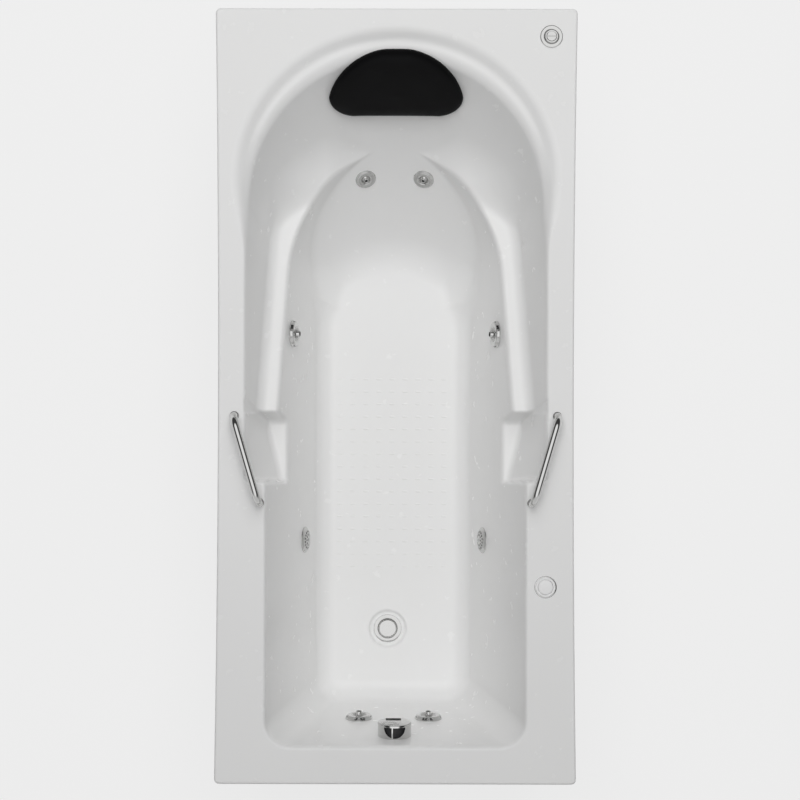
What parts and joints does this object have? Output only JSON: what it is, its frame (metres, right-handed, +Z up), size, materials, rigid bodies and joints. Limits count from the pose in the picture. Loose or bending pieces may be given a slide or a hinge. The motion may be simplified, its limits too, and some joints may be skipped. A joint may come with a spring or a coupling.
{
  "type": "jetted bathtub",
  "caption": "Drop-in jetted bathtub with a moulded backrest and armrests, head pillow, grab handles, water jets, waste and overflow, on a levelling frame with its pump.",
  "frame": {"origin": "centre of the footprint, on the floor under the levelling feet", "axes": "+X to the side with the controls, +Y towards the head end with the pillow, +Z up"},
  "size_m": [0.7, 1.5, 0.5892],
  "materials": {
    "acrylic_white": "smooth polished cast acrylic",
    "chrome": "bright chrome plate",
    "stainless": "plain machined stainless steel",
    "zinc_steel": "grey zinc coated steel",
    "pipe_pvc": "plain extruded and moulded pipe plastic",
    "black_abs": "fine grained moulded plastic",
    "soft_black": "smooth soft skin",
    "clear_rubber": "smooth moulded",
    "wood": "plain sawn board",
    "clear_hose": "smooth flexible hose",
    "motor_paint": "satin paint on cast aluminium",
    "white_plastic": "smooth moulded plastic",
    "impeller_plastic": "moulded glass filled plastic"
  },
  "bodies": {
    "tub": {"air_control_body": "chrome", "air_main": "clear_hose", "air_signal_tube": "clear_hose", "base_frame": "zinc_steel", "deck_control_nuts": "black_abs", "drain_body": "pipe_pvc", "drain_flange": "chrome", "drain_tee": "pipe_pvc", "feed_elbows_and_caps": "pipe_pvc", "feed_pipes": "pipe_pvc", "floor_board": "wood", "foot_nuts": "zinc_steel", "grab_handle_left": "chrome", "grab_handle_right": "chrome", "handle_nuts": "stainless", "head_pillow": "soft_black", "jet_air_branches": "clear_hose", "jet_bodies": "pipe_pvc", "jet_lock_nuts": "black_abs", "jet_ring_back_left": "chrome", "jet_ring_back_right": "chrome", "jet_ring_foot_left": "chrome", "jet_ring_foot_right": "chrome", "jet_ring_side_left": "chrome", "jet_ring_side_right": "chrome", "jet_water_branches": "pipe_pvc", "levelling_feet": "zinc_steel", "motor_fan_cover": "black_abs", "motor_terminal_box": "black_abs", "overflow_body": "pipe_pvc", "overflow_cap": "chrome", "overflow_pipe": "pipe_pvc", "pillow_suction_cups": "clear_rubber", "pump_bracket": "black_abs", "pump_cover": "black_abs", "pump_motor": "motor_paint", "pump_volute": "black_abs", "rim_battens": "wood", "shaft_seal": "soft_black", "start_button_bellows": "soft_black", "start_button_body": "white_plastic", "suction_bodies": "pipe_pvc", "suction_branches": "pipe_pvc", "suction_cover_left": "chrome", "suction_cover_right": "chrome", "suction_cover_screws": "stainless", "suction_elbows_and_caps": "pipe_pvc", "suction_pipes": "pipe_pvc", "tub_shell": "acrylic_white"},
    "nozzle_side_left": {"jet_nozzle_side_left": "chrome"},
    "nozzle_side_right": {"jet_nozzle_side_right": "chrome"},
    "nozzle_foot_left": {"jet_nozzle_foot_left": "chrome"},
    "nozzle_foot_right": {"jet_nozzle_foot_right": "chrome"},
    "nozzle_back_left": {"jet_nozzle_back_left": "chrome"},
    "nozzle_back_right": {"jet_nozzle_back_right": "chrome"},
    "air_knob": {"air_control_knob": "chrome"},
    "button": {"start_button": "white_plastic"},
    "plug": {"drain_plug": "chrome"},
    "impeller": {"pump_impeller": "impeller_plastic"}
  },
  "joints": [
    {"name": "nozzle_tilt_side_left", "type": "hinge", "parent": "tub", "child": "nozzle_side_left", "pos_m": [-0.21269, 0.127, 0.35656], "axis": [0, 1, 0], "range_deg": [-15, 15]},
    {"name": "nozzle_tilt_side_right", "type": "hinge", "parent": "tub", "child": "nozzle_side_right", "pos_m": [0.21269, 0.127, 0.35656], "axis": [0, 1, 0], "range_deg": [-15, 15]},
    {"name": "nozzle_tilt_foot_left", "type": "hinge", "parent": "tub", "child": "nozzle_foot_left", "pos_m": [-0.071, -0.66517, 0.32448], "axis": [1, 0, 0], "range_deg": [-15, 15]},
    {"name": "nozzle_tilt_foot_right", "type": "hinge", "parent": "tub", "child": "nozzle_foot_right", "pos_m": [0.071, -0.66517, 0.32448], "axis": [1, 0, 0], "range_deg": [-15, 15]},
    {"name": "nozzle_tilt_back_left", "type": "hinge", "parent": "tub", "child": "nozzle_back_left", "pos_m": [-0.06083, 0.45321, 0.28678], "axis": [0.9828, 0.1269, -0.1344], "range_deg": [-15, 15]},
    {"name": "nozzle_tilt_back_right", "type": "hinge", "parent": "tub", "child": "nozzle_back_right", "pos_m": [0.06083, 0.45321, 0.28678], "axis": [0.9828, -0.1269, 0.1344], "range_deg": [-15, 15]},
    {"name": "air_knob_turn", "type": "hinge", "parent": "tub", "child": "air_knob", "pos_m": [0.299, 0.696, 0.54], "axis": [0, 0, 1], "range_deg": [0, 90]},
    {"name": "start_button_press", "type": "slide", "parent": "tub", "child": "button", "axis": [0, 0, -1], "range_m": [0, 0.004], "stiffness_N_per_m": 500, "springref_m": -0.002, "deforming": ["start_button_bellows"]},
    {"name": "drain_plug_lift", "type": "slide", "parent": "tub", "child": "plug", "axis": [0, 0, 1], "range_m": [0, 0.01]},
    {"name": "impeller_spin", "type": "hinge", "parent": "tub", "child": "impeller", "pos_m": [-0.175, 0.64, 0.233], "axis": [1, 0, 0], "continuous": true}
  ]
}
